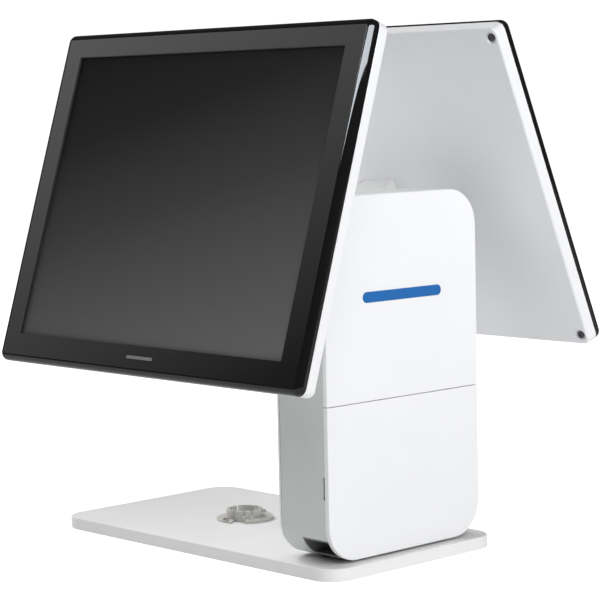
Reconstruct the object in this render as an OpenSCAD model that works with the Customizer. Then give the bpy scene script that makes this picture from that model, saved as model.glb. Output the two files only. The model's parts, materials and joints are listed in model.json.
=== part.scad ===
// Dual-screen point-of-sale terminal.
// X runs to the operator's right, Y from the operator to the customer, Z up.
// The origin is on the counter, below the middle of both monitors and the column's middle plane.

/* [Monitors] */
// Width of a monitor's glass
glass_w = 340; // [338:0.2:345]
// Height of a monitor's glass
glass_h = 260.4; // [258.6:0.2:265]
// Rounding of the bezel's front edge
edge_r = 5; // [3:0.1:5.2]
// Corner radius of a monitor seen from the front
corner_r = 6.7; // [6.2:0.1:8]
// Depth of the black bezel
bezel_d = 7.5; // [7:0.1:8.5]
// Whole depth of a monitor, from glass to shell back
monitor_d = 17.4; // [17.2:0.1:20]
// How far the shell's sides lean in towards the back
shell_draft = 0.7; // [0.4:0.1:1.6]

/* [Posture] */
// Operator monitor's lean back from upright, in degrees
operator_lean = 17.5; // [8:0.5:26]
// Customer monitor's lean back from upright, in degrees
customer_lean = 23.7; // [8:0.1:26]
// Height of both hinge pins over the counter
hinge_z = 259.6; // [256:0.1:262]
// Operator pin's distance from the column's middle plane
operator_hinge_y = 60.7; // [60:0.1:67]
// Customer pin's distance from the column's middle plane
customer_hinge_y = 65.2; // [60:0.1:67]
// Distance from a hinge pin to the front of the glass
arm_reach = 60.7; // [58:0.1:66]
// How far a pin sits below the middle of the glass
arm_drop = 2.5; // [0:0.1:5]

/* [Column] */
// Width of the column, cover to cover
col_w = 54; // [53:0.2:56]
// Depth of the column, operator side to customer side
col_d = 163; // [162:0.5:170]
// Height of the column's foot over the counter
col_z0 = 12.7; // [12.2:0.1:13.2]
// Height of the column's top over the counter
col_z1 = 282.1; // [281:0.1:290]
// Left face of the column
col_x0 = 70.3; // [69.5:0.1:71.5]
// Corner radius of the column seen from the side
col_r = 28; // [24:1:30]
// Thickness of the left cover
left_cover_t = 2.9; // [2.7:0.1:3.2]
// Thickness of both right covers
right_cover_t = 4.1; // [3.8:0.1:4.4]
// Height of the seam between the two right covers
seam_z = 129.2; // [129:0.1:130]

/* [Base] */
// Width of the base plate
base_w = 324.4; // [316:0.2:330]
// Depth of the base plate
base_d = 181.2; // [176:0.2:190]
// Thickness of the base plate
base_t = 9.7; // [9.5:0.1:9.9]
// Corner radius of the base plate
base_r = 20; // [15:1:25]
// Height of the rubber feet under the base plate
foot_h = 1; // [0.8:0.1:1.2]

/* [Pole socket] */
// Inside radius of the socket's ring of fingers
socket_bore_r = 12.4; // [10:0.1:12.5]
// Height of the fingers over the base plate
socket_h = 8.6; // [7:0.2:12]
// Width of the gaps between the fingers
finger_gap = 2; // [1:0.2:2.4]

/* [Hinges] */
// Radius of the hinge pins
pin_r = 4; // [3:0.5:4.5]
// Radial gap of each running fit
running_gap = 0.05; // [0.02:0.01:0.08]

/* [Hidden] */
$fn = 64;

eps = 0.01;
fit_gap = 0.1;

// Column
col_x1 = col_x0 + col_w;
col_mid_x = col_x0 + col_w / 2;
col_h = col_z1 - col_z0;
col_mid_z = (col_z0 + col_z1) / 2;
band_x0 = col_x0 + left_cover_t;
band_x1 = col_x1 - right_cover_t;
band_wall = 2.4;
cover_pocket = 1;
seam_gap = 0.4;
post_r = 5;
post_y = col_d / 2 - band_wall - post_r + 1;
post_heights = [45, 112, 150, 240];
peg_r = 2;
peg_length = 8;
outlet_x0 = 92.7;
outlet_top = 29.8;
outlet_back_y = -60;
duct_back_y = -52.3;
duct_floor_z = col_z0 + 3.4;
slot_z0 = 60.6;
slot_z1 = 77.4;
slot_w = 2;
grille_y = 30;
grille_z = 60;
grille_pitch = 4;
button_y = -55;
button_z = 150;
button_r = 5;
button_travel = 1.2;
button_collar_x = band_x0 - cover_pocket + 0.05;
button_collar_t = 0.6;
button_stop_x = button_collar_x + button_collar_t + button_travel;
badge_y = -1;
badge_z = 206.5;
badge_w = 84;
badge_h = 8;

// Chassis inside the column
chassis_x0 = 78;
chassis_t = 1.2;
chassis_x1 = chassis_x0 + chassis_t;
chassis_d = 136;
chassis_z1 = 268;
foot_flange_z = col_z0 + band_wall + fit_gap;
foot_flange_t = 1.5;
board_x0 = 86;
board_t = 1.6;
board_x1 = board_x0 + board_t;
standoff_y = 58;
standoff_heights = [142.8, 254];
sink_z0 = 182;
sink_z1 = 236;
fin_count = 9;
fin_pitch = 6.5;
lead_y = 30;
lead_z = 257;
lead_hole_r = 5;
// Jacks that open downwards into the connector bay: [centre y, width]
jacks = [[-56, 12], [-40, 15], [-21, 17], [1, 20], [25, 20], [46, 15], [60, 10]];
jack_x1 = board_x1 + 13;
jack_z0 = 127;
jack_z1 = 139.5;
bay_x1 = 114;

// Base
base_mid_x = -30;
base_mid_y = 3.2;
base_top = foot_h + base_t;
foot_r = 8;
foot_inset = 20;
socket_x = -63.7;
socket_y = base_mid_y;
socket_wall = 2.6;
finger_gap_angles = [33, 88, 163, 218, 283, 316, 342];
flange_r = 23.2;
flange_t = 2.6;
thin_lug_t = 1.4;
lug_gap_angles = [124, 304];
ear_pitch = 41.2;
cable_hole_r = 7;
column_screw_dx = 12;
column_screw_dy = 40;

// Hinges
cheek_x = 18;
cheek_t = 3;
knuckle_r = 7.5;
ear_x0 = 22;
ear_t = 4;
ear_r = 9;
shelf_z0 = 245;
shelf_t = 4;
shelf_half_d = 40;
shelf_x0 = -30;
flange_x0 = chassis_x0 - 2.2;
flange_z0 = 233;
flange_z1 = 267;
bracket_screw_y = 20;
bracket_screw_heights = [237, 263];
housing_x0 = -33;
housing_half_d = 46;
housing_z0 = 228;
housing_z1 = 272;
housing_wall = 2.2;

// Monitor, in its own frame: X across, Y from the glass to the back, Z up, origin mid-glass
glass_t = 1.8;
bezel_w = glass_w + 2 * edge_r;
bezel_h = glass_h + 2 * edge_r;
lcd_w = 326.5;
lcd_h = 253.5;
lcd_y0 = glass_t + 0.15;
lcd_t = 6.8;
lcd_gap = 0.75;
shell_wall = 2.2;
back_edge_r = 1.8;
shell_screw_x = bezel_w / 2 - 7.6;
shell_screw_z = bezel_h / 2 - 8.9;
recess_r = 5;
recess_floor_r = 3.3;
recess_d = 1.8;
panel_plate_y0 = 9.2;
panel_plate_t = 1;
driver_y0 = panel_plate_y0 + panel_plate_t + 1.2;
driver_t = 1.2;
arm_plate_w = 2 * cheek_x + cheek_t;
arm_plate_top = 6.3;
arm_plate_h = 60;
arm_plate_t = 2.5;
arm_screw_x = 10;
arm_screw_heights = [-4, -40];
boss_y1 = monitor_d - shell_wall - fit_gap;
cable_r = 2.2;
cable_drop = 16;
cable_z = -arm_drop - cable_drop;

// ---------- Shared shapes ----------

module rounded_rect(w, h, r) {
    square([w - 2 * r, h], center = true);
    square([w, h - 2 * r], center = true);
    for (sx = [-1, 1], sy = [-1, 1])
        translate([sx * (w / 2 - r), sy * (h / 2 - r)]) circle(r);
}

// Upright plate across X and Z whose thickness runs along +Y from y0
module panel(w, h, r, y0, t)
    translate([0, y0 + t, 0]) rotate([90, 0, 0]) linear_extrude(t) rounded_rect(w, h, r);

// Rod along +Y from y0, centred at x and z
module y_rod(x, z, y0, length, r)
    translate([x, y0 + length, z]) rotate([90, 0, 0]) cylinder(h = length, r = r);

// Rod along +X from x0, centred at y and z
module x_rod(x0, length, y, z, r)
    translate([x0, y, z]) rotate([0, 90, 0]) cylinder(h = length, r = r);

// Outline in the YZ plane, extruded along +X from x0
module side_slab(x0, t)
    translate([x0, 0, 0]) rotate([90, 0, 90]) linear_extrude(t) children();

// Box from its low and high corners
module span(low, high)
    translate(low) cube(high - low);

// Straight rod between two points
module rod(p, q, r) {
    d = q - p;
    length = norm(d);
    translate(p) rotate([0, acos(d[2] / length), atan2(d[1], d[0])]) cylinder(h = length, r = r);
}

// Rod that follows a list of points, with a slightly fuller ball at each bend
module cable_run(points, r) {
    last = len(points) - 1;
    for (i = [0 : last - 1]) rod(points[i], points[i + 1], r);
    for (i = [1 : last - 1]) translate(points[i]) sphere(1.1 * r);
}

// Sweeps a profile round a rounded rectangle in the XZ plane.
// The profile's x is the distance out from the corner arc's centre and its y is the depth.
module edge_sweep(w, h, r) {
    dx = w / 2 - r;
    dz = h / 2 - r;
    for (side = [0, 1]) {
        mirror([side, 0, 0]) translate([dx, 0, -dz]) linear_extrude(2 * dz) children();
        mirror([0, 0, side])
            translate([dx, 0, dz]) rotate([0, -90, 0]) linear_extrude(2 * dx) children();
    }
    for (sx = [0, 1], sz = [0, 1])
        mirror([sx, 0, 0]) mirror([0, 0, sz]) translate([dx, 0, dz])
            rotate([90, 0, 0]) mirror([0, 0, 1]) rotate_extrude(angle = 90) children();
}

// Countersunk screw along +Z with its head's flat face at z = 0
module countersunk(head_r, head_h, shank_r, length) {
    cylinder(h = head_h, r1 = head_r, r2 = shank_r);
    cylinder(h = length, r = shank_r);
}

// ---------- Base ----------

// One foot at the origin, below the middle of both monitors, and one at each corner
module at_feet() {
    children();
    for (sx = [-1, 1], sy = [-1, 1])
        translate([base_mid_x + sx * (base_w / 2 - foot_inset),
                   base_mid_y + sy * (base_d / 2 - foot_inset), 0]) children();
}

module at_column_screws()
    for (sx = [-1, 1], sy = [-1, 1])
        translate([col_mid_x + sx * column_screw_dx, sy * column_screw_dy, 0]) children();

module at_socket_ears()
    for (s = [-1, 1]) translate([socket_x, socket_y + s * ear_pitch / 2, 0]) children();

module base_plate()
    color("white") difference() {
        translate([base_mid_x, base_mid_y, foot_h])
            linear_extrude(base_t) rounded_rect(base_w, base_d, base_r);
        at_feet() cylinder(h = foot_h + 0.8, r = foot_r + fit_gap);
        at_column_screws() {
            translate([0, 0, foot_h - eps]) cylinder(h = base_t + 1, r = 2.6);
            translate([0, 0, foot_h - eps]) cylinder(h = 3, r1 = 5.4, r2 = 2.6);
        }
        at_socket_ears() translate([0, 0, base_top - 6]) cylinder(h = 7, r = 1.5);
        translate([socket_x, socket_y, 0]) cylinder(h = base_top + 1, r = cable_hole_r);
    }

module rubber_feet()
    color("dimgray") at_feet() cylinder(h = foot_h + 0.75, r = foot_r);

// Two lugs, the left one thinner, and a ring of upright fingers that grip an accessory pole
module pole_socket() {
    finger_r = socket_bore_r + socket_wall;
    color("darkgray") translate([socket_x, socket_y, base_top]) difference() {
        union() {
            cylinder(h = socket_h, r = finger_r);
            difference() {
                cylinder(h = flange_t, r = flange_r);
                for (a = lug_gap_angles) rotate([0, 0, a]) translate([0, -5.5, -1]) cube([30, 11, 9]);
                rotate([0, 0, lug_gap_angles[0]]) translate([-30, 0, thin_lug_t]) cube([60, 30, 9]);
            }
        }
        translate([0, 0, -1]) cylinder(h = socket_h + 2, r = socket_bore_r);
        for (a = finger_gap_angles)
            rotate([0, 0, a])
                translate([0, -finger_gap / 2, flange_t]) cube([finger_r + 1, finger_gap, socket_h]);
        for (s = [-1, 1]) translate([0, s * ear_pitch / 2, -1]) cylinder(h = 9, r = 1.6);
    }
}

// The screw on the thin lug sits lower than the one on the thick lug
module socket_screws()
    color("silver") for (lug = [[-1, thin_lug_t], [1, flange_t]])
        translate([socket_x, socket_y + lug[0] * ear_pitch / 2, base_top]) {
            translate([0, 0, -5]) cylinder(h = 5 + lug[1], r = 1.45);
            translate([0, 0, lug[1]]) difference() {
                cylinder(h = 1.5, r = 2.5);
                for (a = [0, 90]) rotate([0, 0, a]) translate([-1.6, -0.3, 0.7]) cube([3.2, 0.6, 1]);
            }
        }

module column_gasket()
    color("black") difference() {
        translate([col_mid_x, 0, base_top])
            linear_extrude(col_z0 - base_top) rounded_rect(36, 98, 4);
        at_column_screws() cylinder(h = col_z0 + 1, r = 2.6);
    }

module column_screws()
    color("silver") at_column_screws()
        translate([0, 0, foot_h + 0.1]) countersunk(5, 2.6, 2.4, 19);

// ---------- Column ----------

// Outline of the column seen from the side, shrunk by an inset
module column_outline(inset = 0)
    translate([0, col_mid_z]) rounded_rect(col_d - 2 * inset, col_h - 2 * inset, col_r - inset);

module at_posts(heights)
    for (s = [-1, 1], z = heights) translate([0, s * post_y, z]) children();

module column_band()
    color("darkgray") difference() {
        union() {
            side_slab(band_x0, band_x1 - band_x0) difference() {
                column_outline();
                column_outline(band_wall);
            }
            at_posts(post_heights) x_rod(band_x0, band_x1 - band_x0, 0, 0, post_r);
        }
        // Cable notch, open towards the service cover
        span([outlet_x0, -col_d, 0], [col_x1, outlet_back_y, outlet_top]);
        // Pry slot beside the service cover
        span([band_x1 - slot_w, -col_d, slot_z0], [col_x1, -col_d / 2 + 4, slot_z1]);
        at_column_screws() cylinder(h = foot_flange_z + 1, r = 2.6);
        at_posts(post_heights)
            for (x = [band_x0 - 1, band_x1 - peg_length - 0.5])
                x_rod(x, peg_length + 1.5, 0, 0, peg_r + running_gap);
    }

// Side cover of thickness t between two heights: a flat skin with a rim, and pegs for the posts.
// It is drawn for the right side and mirrored for the left.
module side_cover(t, z0, z1, heights) {
    inner_x = col_x1 - t;
    difference() {
        side_slab(inner_x, t) intersection() {
            column_outline();
            translate([-col_d / 2, z0]) square([col_d, z1 - z0]);
        }
        side_slab(inner_x - eps, cover_pocket) intersection() {
            column_outline(5);
            translate([-col_d / 2, z0 + 3]) square([col_d, z1 - z0 - 6]);
        }
    }
    at_posts(heights) x_rod(inner_x - peg_length, peg_length + t - 1, 0, 0, peg_r);
}

module left_cover()
    color("white") difference() {
        translate([col_x0 + col_x1, 0, 0]) mirror([1, 0, 0])
            side_cover(left_cover_t, col_z0, col_z1, post_heights);
        // Way through for the hinge bracket
        span([col_x0 - 1, -shelf_half_d - 1, flange_z0 - 2],
             [band_x0 + 1, shelf_half_d + 1, flange_z1 + 1]);
        x_rod(col_x0 - 1, left_cover_t + 2, button_y, button_z, button_r + running_gap);
        // Loudspeaker grille
        for (row = [-3 : 3], line = [-1 : 1])
            if (line == 0 || abs(row) < 3)
                x_rod(col_x0 - 1, left_cover_t + 2, grille_y + row * grille_pitch,
                      grille_z + line * 5, 1.2);
    }

module right_cover()
    color("white") side_cover(right_cover_t, seam_z + seam_gap / 2, col_z1, [150, 240]);

module service_cover()
    color("white") side_cover(right_cover_t, col_z0, seam_z - seam_gap / 2, [45, 112]);

module side_badge()
    color("royalblue") translate([col_x1, 0, 0]) rotate([90, 0, 90]) linear_extrude(0.4)
        translate([badge_y, badge_z]) rounded_rect(badge_w, badge_h, badge_h / 2 - eps);

// Dark insert that fills the cable notch, with its front following the column's rounded foot,
// and a hollow that leads back to the connector bay
module outlet_duct() {
    x0 = outlet_x0 + 0.3;
    x1 = band_x1 - 0.2;
    top = outlet_top - 0.3;
    wall = 1.2;
    color("black") difference() {
        union() {
            intersection() {
                span([x0, -col_d / 2, col_z0], [x1, outlet_back_y - 0.2, top]);
                side_slab(x0, x1 - x0) column_outline(0.4);
            }
            span([x0, outlet_back_y - 1, duct_floor_z], [x1, duct_back_y, top]);
        }
        span([x0 + wall, -col_d, duct_floor_z + wall], [x1 - wall, duct_back_y - wall, top - wall]);
    }
}

module chassis_plate()
    color("silver") difference() {
        union() {
            span([chassis_x0, -chassis_d / 2, foot_flange_z],
                 [chassis_x1, chassis_d / 2, chassis_z1]);
            span([chassis_x0, -52, foot_flange_z], [bay_x1, 44, foot_flange_z + foot_flange_t]);
            at_column_screws() translate([0, 0, foot_flange_z]) cylinder(h = 5, r = 4.5);
        }
        // Corners cleared for the band's rounded foot and top
        for (s = [-1, 1], z = [foot_flange_z - 1, chassis_z1 - 10])
            translate([chassis_x0 - 1, s * chassis_d / 2 - 16, z]) cube([4, 32, 11]);
        at_column_screws() cylinder(h = 30, r = 2.45);
        x_rod(chassis_x0 - 1, 4, grille_y, grille_z, 16);
        for (s = [-1, 1]) x_rod(chassis_x0 - 1, 4, s * lead_y, lead_z, lead_hole_r);
        at_bracket_screws() x_rod(chassis_x0 - 1, 4, 0, 0, 2.1);
    }

module power_button()
    color("gray") {
        x_rod(col_x0 - button_travel, button_collar_x - col_x0 + button_travel + 0.1,
              button_y, button_z, button_r);
        x_rod(button_collar_x, button_collar_t, button_y, button_z, button_r + 1.2);
    }

module power_switch()
    color("black") {
        span([button_stop_x + 0.4, button_y - 4, button_z - 4],
             [chassis_x0, button_y + 4, button_z + 4]);
        x_rod(button_stop_x + 0.1, 0.4, button_y, button_z, 1.5);
    }

module speaker()
    color("black") {
        x_rod(band_x0 + 0.3, 10, grille_y, grille_z, 15.5);
        x_rod(chassis_x1, 1.5, grille_y, grille_z, 19);
    }

// ---------- Electronics ----------

module at_standoffs()
    for (s = [-1, 1], z = standoff_heights) translate([0, s * standoff_y, z]) children();

module mainboard()
    color("seagreen") {
        difference() {
            span([board_x0, -66, 130], [board_x1, 66, 262]);
            at_standoffs() x_rod(board_x0 - 1, 4, 0, 0, 1.6);
        }
        span([board_x1, -18, 192], [board_x1 + 2, 18, 228]);
        span([board_x1, -62, 146], [board_x1 + 5, 10, 149]);
        span([board_x1, 36, 243], [board_x1 + 4, 58, 247]);
        for (i = [0 : 3]) span([board_x1, -60 + i * 9, 240], [board_x1 + 8, -54 + i * 9, 246]);
        for (y = [-55, -40]) span([board_x1, y, 200], [board_x1 + 1.5, y + 11, 216]);
    }

module board_standoffs()
    color("goldenrod") at_standoffs() {
        x_rod(chassis_x1, board_x0 - chassis_x1, 0, 0, 3);
        x_rod(board_x0, board_t + 0.1, 0, 0, 1.5);
        x_rod(board_x1, 1.8, 0, 0, 2.8);
    }

module heat_sink()
    color("silver") {
        span([board_x1 + 2, -27, sink_z0], [board_x1 + 5, 27, sink_z1]);
        for (i = [0 : fin_count - 1])
            span([board_x1 + 5 - eps, -27 + i * fin_pitch, sink_z0],
                 [board_x1 + 22, -25 + i * fin_pitch, sink_z1]);
    }

module memory_module()
    color("darkgreen") {
        span([90.2, -60, 149], [91.4, 7.6, 178]);
        for (i = [0 : 3]) span([91.4, -56 + i * 16, 158], [92.6, -44 + i * 16, 170]);
    }

module storage_module()
    color("darkgreen") {
        span([89.8, 36, 163], [90.8, 58, 243]);
        for (i = [0 : 2]) span([90.8, 39, 168 + i * 25], [92.2, 55, 186 + i * 25]);
        span([board_x1, 44, 164], [89.8, 50, 169]);
    }

module connector_block()
    color("black") for (j = jacks) difference() {
        span([board_x1 + eps, j[0] - j[1] / 2, jack_z0], [jack_x1, j[0] + j[1] / 2, jack_z1]);
        span([board_x1 + 2, j[0] - j[1] / 2 + 1.5, jack_z0 - 1],
             [jack_x1 - 2, j[0] + j[1] / 2 - 1.5, jack_z1 - 3]);
    }

module connector_bracket()
    color("silver") difference() {
        span([chassis_x1, -67, jack_z0 - 1.2], [bay_x1, 67, jack_z0]);
        for (j = jacks)
            span([board_x1 + 1.5, j[0] - j[1] / 2 + 1, jack_z0 - 2],
                 [jack_x1 - 1.5, j[0] + j[1] / 2 - 1, jack_z0 + 1]);
    }

// Leads from the board through the chassis into the hinge housing, each turning out to its monitor
module display_cables()
    color("black") for (s = [0, 1]) mirror([0, s, 0]) {
        x_rod(-cable_r, board_x0 + cable_r - 0.1, lead_y, lead_z, cable_r);
        y_rod(0, lead_z, lead_y, 14, cable_r - 0.1);
    }

// ---------- Hinges ----------

// Ear of the bracket in the YZ plane, from the shelf out to a pin at y = -reach
module ear_outline(reach)
    difference() {
        union() {
            translate([-reach, hinge_z]) circle(ear_r);
            polygon([
                [-reach, hinge_z + ear_r], [-shelf_half_d + 2, shelf_z0 + shelf_t],
                [-30, shelf_z0 + shelf_t], [-30, shelf_z0],
                [-shelf_half_d - 4, shelf_z0], [-reach, hinge_z - ear_r],
            ]);
        }
        translate([-reach, hinge_z]) circle(pin_r + running_gap);
    }

module ears(reach)
    for (x = [-ear_x0 - ear_t, ear_x0]) side_slab(x, ear_t) ear_outline(reach);

module at_bracket_screws()
    for (s = [-1, 1], z = bracket_screw_heights) translate([0, s * bracket_screw_y, z]) children();

module hinge_bracket()
    color("dimgray") difference() {
        union() {
            span([shelf_x0, -shelf_half_d, shelf_z0],
                 [chassis_x0, shelf_half_d, shelf_z0 + shelf_t]);
            for (y = [-shelf_half_d, shelf_half_d - 2.5])
                span([shelf_x0, y, flange_z0], [chassis_x0, y + 2.5, shelf_z0 + eps]);
            span([flange_x0, -shelf_half_d, flange_z0], [chassis_x0, shelf_half_d, flange_z1]);
            ears(operator_hinge_y);
            mirror([0, 1, 0]) ears(customer_hinge_y);
        }
        for (s = [-1, 1]) x_rod(flange_x0 - 1, 5, s * lead_y, lead_z, lead_hole_r);
        at_bracket_screws() x_rod(flange_x0 - 1, 5, 0, 0, 2.1);
    }

module bracket_screws()
    color("silver") at_bracket_screws() {
        x_rod(flange_x0, chassis_x1 - flange_x0 + eps, 0, 0, 1.95);
        x_rod(chassis_x1, 2, 0, 0, 3.6);
    }

module housing_slots()
    for (x = [-ear_x0 - ear_t, ear_x0])
        span([x - 0.5, -80, housing_z0 - 1], [x + ear_t + 0.5, 80, 262]);

module hinge_housing()
    color("white") difference() {
        span([housing_x0, -housing_half_d, housing_z0], [col_x0 - 0.1, housing_half_d, housing_z1]);
        span([housing_x0 + housing_wall, -housing_half_d + housing_wall, housing_z0 - 1],
             [col_x0 + 1, housing_half_d - housing_wall, housing_z1 - housing_wall]);
        housing_slots();
        for (s = [-1, 1]) translate([0, s * housing_half_d, lead_z])
            rotate([90, 0, 0]) cylinder(h = 10, r = 3, center = true);
    }

module housing_lid()
    color("white") difference() {
        union() {
            span([housing_x0, -housing_half_d, housing_z0 - 2.4],
                 [col_x0 - 0.1, housing_half_d, housing_z0 - 0.1]);
            // Rib that locates the lid inside the housing's walls
            span([housing_x0 + 2.4, -housing_half_d + 2.4, housing_z0 - 0.2],
                 [col_x0 - 0.2, housing_half_d - 2.4, housing_z0 + 2]);
        }
        span([housing_x0 + 4, -housing_half_d + 4, housing_z0 - 0.1],
             [col_x0 + 1, housing_half_d - 4, housing_z0 + 3]);
        for (x = [-20 : 10 : 50], y = [-20, 0, 20])
            translate([x, y, housing_z0 - 3]) cylinder(h = 5, r = 1.6);
    }

module hinge_pin(y)
    color("silver") {
        x_rod(-ear_x0 - ear_t - 4, 2 * (ear_x0 + ear_t) + 4, y, hinge_z, pin_r);
        x_rod(ear_x0 + ear_t, 2.5, y, hinge_z, pin_r + 2.5);
    }

module friction_washers(y)
    color("brown") for (s = [-1, 1]) difference() {
        x_rod(s * 20.75 - 1.15, 2.3, y, hinge_z, 7);
        x_rod(s * 20.75 - 2, 4, y, hinge_z, pin_r + running_gap);
    }

module pin_nuts()
    color("silver") for (y = [-operator_hinge_y, customer_hinge_y])
        translate([-ear_x0 - ear_t - 3.3, y, hinge_z]) rotate([0, 90, 0]) difference() {
            cylinder(h = 3.2, r = 6.8, $fn = 6);
            translate([0, 0, -1]) cylinder(h = 6, r = pin_r + running_gap);
        }

// ---------- Monitors, each in its own frame ----------

module operator_place()
    translate([0, -operator_hinge_y, hinge_z]) rotate([-operator_lean, 0, 0])
        translate([0, -arm_reach, arm_drop]) children();

module customer_place()
    translate([0, customer_hinge_y, hinge_z]) rotate([0, 0, 180]) rotate([-customer_lean, 0, 0])
        translate([0, -arm_reach, arm_drop]) children();

module at_shell_screws()
    for (sx = [-1, 1], sz = [-1, 1])
        translate([sx * shell_screw_x, 0, sz * shell_screw_z]) children();

module at_arm_screws()
    for (sx = [-1, 1], z = arm_screw_heights) translate([sx * arm_screw_x, 0, z]) children();

module glass()
    color("black") panel(glass_w, glass_h, corner_r - edge_r, 0, glass_t);

module bezel_profile() {
    rim_x = corner_r - edge_r;
    difference() {
        union() {
            intersection() {
                translate([rim_x, edge_r]) circle(edge_r);
                translate([rim_x, 0]) square(edge_r + 1);
            }
            translate([0, glass_t + fit_gap]) square([rim_x + eps, bezel_d - glass_t - fit_gap]);
            translate([rim_x, edge_r]) square([edge_r, bezel_d - edge_r]);
        }
        // Pocket for the glass
        translate([-1, -1]) square([rim_x + 0.15 + 1, glass_t + fit_gap + 1]);
    }
}

// Rounded rim, and the ledge round the display that carries the glass and takes the screws
module bezel()
    color("#151515") difference() {
        union() {
            edge_sweep(bezel_w, bezel_h, corner_r) bezel_profile();
            difference() {
                panel(bezel_w - corner_r, bezel_h - corner_r, 2, glass_t + fit_gap,
                      bezel_d - glass_t - fit_gap);
                panel(lcd_w + 2 * lcd_gap, lcd_h + 2 * lcd_gap, 2, 0, bezel_d + 1);
            }
        }
        at_shell_screws() y_rod(0, 0, 4, bezel_d, 1.5);
    }

module lcd()
    color("#30343a") panel(lcd_w, lcd_h, 2, lcd_y0, lcd_t);

module panel_bracket()
    color("silver") difference() {
        union() {
            panel(322, 249, 4, panel_plate_y0, panel_plate_t);
            at_arm_screws()
                y_rod(0, 0, panel_plate_y0, boss_y1 - panel_plate_y0, 5);
        }
        at_arm_screws() y_rod(0, 0, panel_plate_y0 - 1, 10, 2.05);
        for (sx = [-1, 1])
            translate([sx * 105, 0, 50]) panel(70, 90, 10, panel_plate_y0 - 1, 3);
    }

module driver_board()
    color("seagreen") {
        span([-80, driver_y0, -116], [80, driver_y0 + driver_t, -66]);
        for (i = [0 : 4])
            span([-70 + i * 30, driver_y0 + driver_t, -106], [-54 + i * 30, driver_y0 + 3, -90]);
        for (sx = [-1, 1], z = [-112, -70])
            y_rod(sx * 74, z, panel_plate_y0 + panel_plate_t, driver_y0 - panel_plate_y0 - 1, 2.5);
    }

module shell_profile() {
    back_y = monitor_d;
    wall_x = corner_r - shell_draft;
    polygon([
        [corner_r - shell_wall, bezel_d], [corner_r, bezel_d],
        [wall_x, back_y - back_edge_r],
        for (a = [15 : 15 : 90])
            [wall_x - back_edge_r * (1 - cos(a)), back_y - back_edge_r * (1 - sin(a))],
        [0, back_y], [0, back_y - shell_wall],
        [wall_x - shell_wall - 0.5, back_y - shell_wall],
    ]);
}

// Dished recess round a shell screw's head, cut 1 past the shell's back
module shell_recess() {
    slope = (recess_r - recess_floor_r) / recess_d;
    translate([0, monitor_d + 1, 0]) rotate([90, 0, 0])
        cylinder(h = recess_d + 1, r1 = recess_r + slope, r2 = recess_floor_r);
}

module shell()
    color("white") difference() {
        union() {
            edge_sweep(bezel_w, bezel_h, corner_r) shell_profile();
            span([-bezel_w / 2 + corner_r - 1, monitor_d - shell_wall, -bezel_h / 2 + corner_r - 1],
                 [bezel_w / 2 - corner_r + 1, monitor_d, bezel_h / 2 - corner_r + 1]);
            at_shell_screws() y_rod(0, 0, lcd_y0 + lcd_t + fit_gap, boss_y1 - lcd_y0 - lcd_t + 1, 4.4);
        }
        at_shell_screws() {
            shell_recess();
            y_rod(0, 0, 0, monitor_d, 1.6);
        }
        at_arm_screws() y_rod(0, 0, boss_y1, 5, 2.1);
        y_rod(0, cable_z, monitor_d - 5, 8, 6);
    }

module shell_screws()
    color("#202020") at_shell_screws() {
        y_rod(0, 0, 4.2, monitor_d - recess_d - 4.2, 1.4);
        difference() {
            y_rod(0, 0, monitor_d - recess_d, 1.5, 3);
            for (a = [0, 90]) rotate([0, a, 0])
                span([-1.8, monitor_d - recess_d + 0.8, -0.3], [1.8, monitor_d, 0.3]);
        }
    }

module badge()
    color("silver") translate([0, 0, -122]) panel(30, 2.4, 1.1, -0.25, 0.25);

// Mount plate, the two cheeks that turn on the hinge pin, and a web across their tops
module tilt_arm() {
    pin_y = arm_reach;
    pin_z = -arm_drop;
    plate_bottom = arm_plate_top - arm_plate_h;
    color("white") difference() {
        union() {
            translate([0, 0, arm_plate_top - arm_plate_h / 2])
                panel(arm_plate_w, arm_plate_h, 2, monitor_d, arm_plate_t);
            for (s = [-1, 1]) side_slab(s * cheek_x - cheek_t / 2, cheek_t) {
                translate([pin_y, pin_z]) circle(knuckle_r);
                polygon([
                    [monitor_d, arm_plate_top + 1.3], [monitor_d + 11, arm_plate_top - 0.6],
                    [pin_y, pin_z + knuckle_r], [pin_y, pin_z - knuckle_r],
                    [monitor_d + 8, plate_bottom + 12], [monitor_d, plate_bottom + 6],
                ]);
            }
            side_slab(-cheek_x, 2 * cheek_x) polygon([
                [monitor_d, arm_plate_top], [pin_y - 10, arm_plate_top - 1.3],
                [pin_y - 10, arm_plate_top - 3.8], [monitor_d, arm_plate_top - 2.5],
            ]);
            y_rod(0, cable_z, monitor_d, 8, 9);
        }
        x_rod(-30, 60, pin_y, pin_z, pin_r + running_gap);
        at_arm_screws() y_rod(0, 0, monitor_d - 1, 5, 2.1);
        y_rod(0, cable_z, monitor_d - 1, 12, 5);
    }
}

module arm_screws()
    color("silver") at_arm_screws() {
        y_rod(0, 0, panel_plate_y0 + 1, monitor_d + arm_plate_t - panel_plate_y0 - 1, 1.95);
        difference() {
            y_rod(0, 0, monitor_d + arm_plate_t, 2, 3.6);
            for (a = [0, 90]) rotate([0, a, 0])
                span([-2.2, monitor_d + arm_plate_t + 1, -0.4], [2.2, monitor_d + 5, 0.4]);
        }
    }

// Lead from the housing's outlet side down through the arm's boss into the shell
module monitor_cable()
    color("black") cable_run([
        [0, arm_reach - 8, -arm_drop - 7], [0, monitor_d + 16, cable_z], [0, 13.5, cable_z],
    ], cable_r);

// ---------- Named nodes ----------

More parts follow.
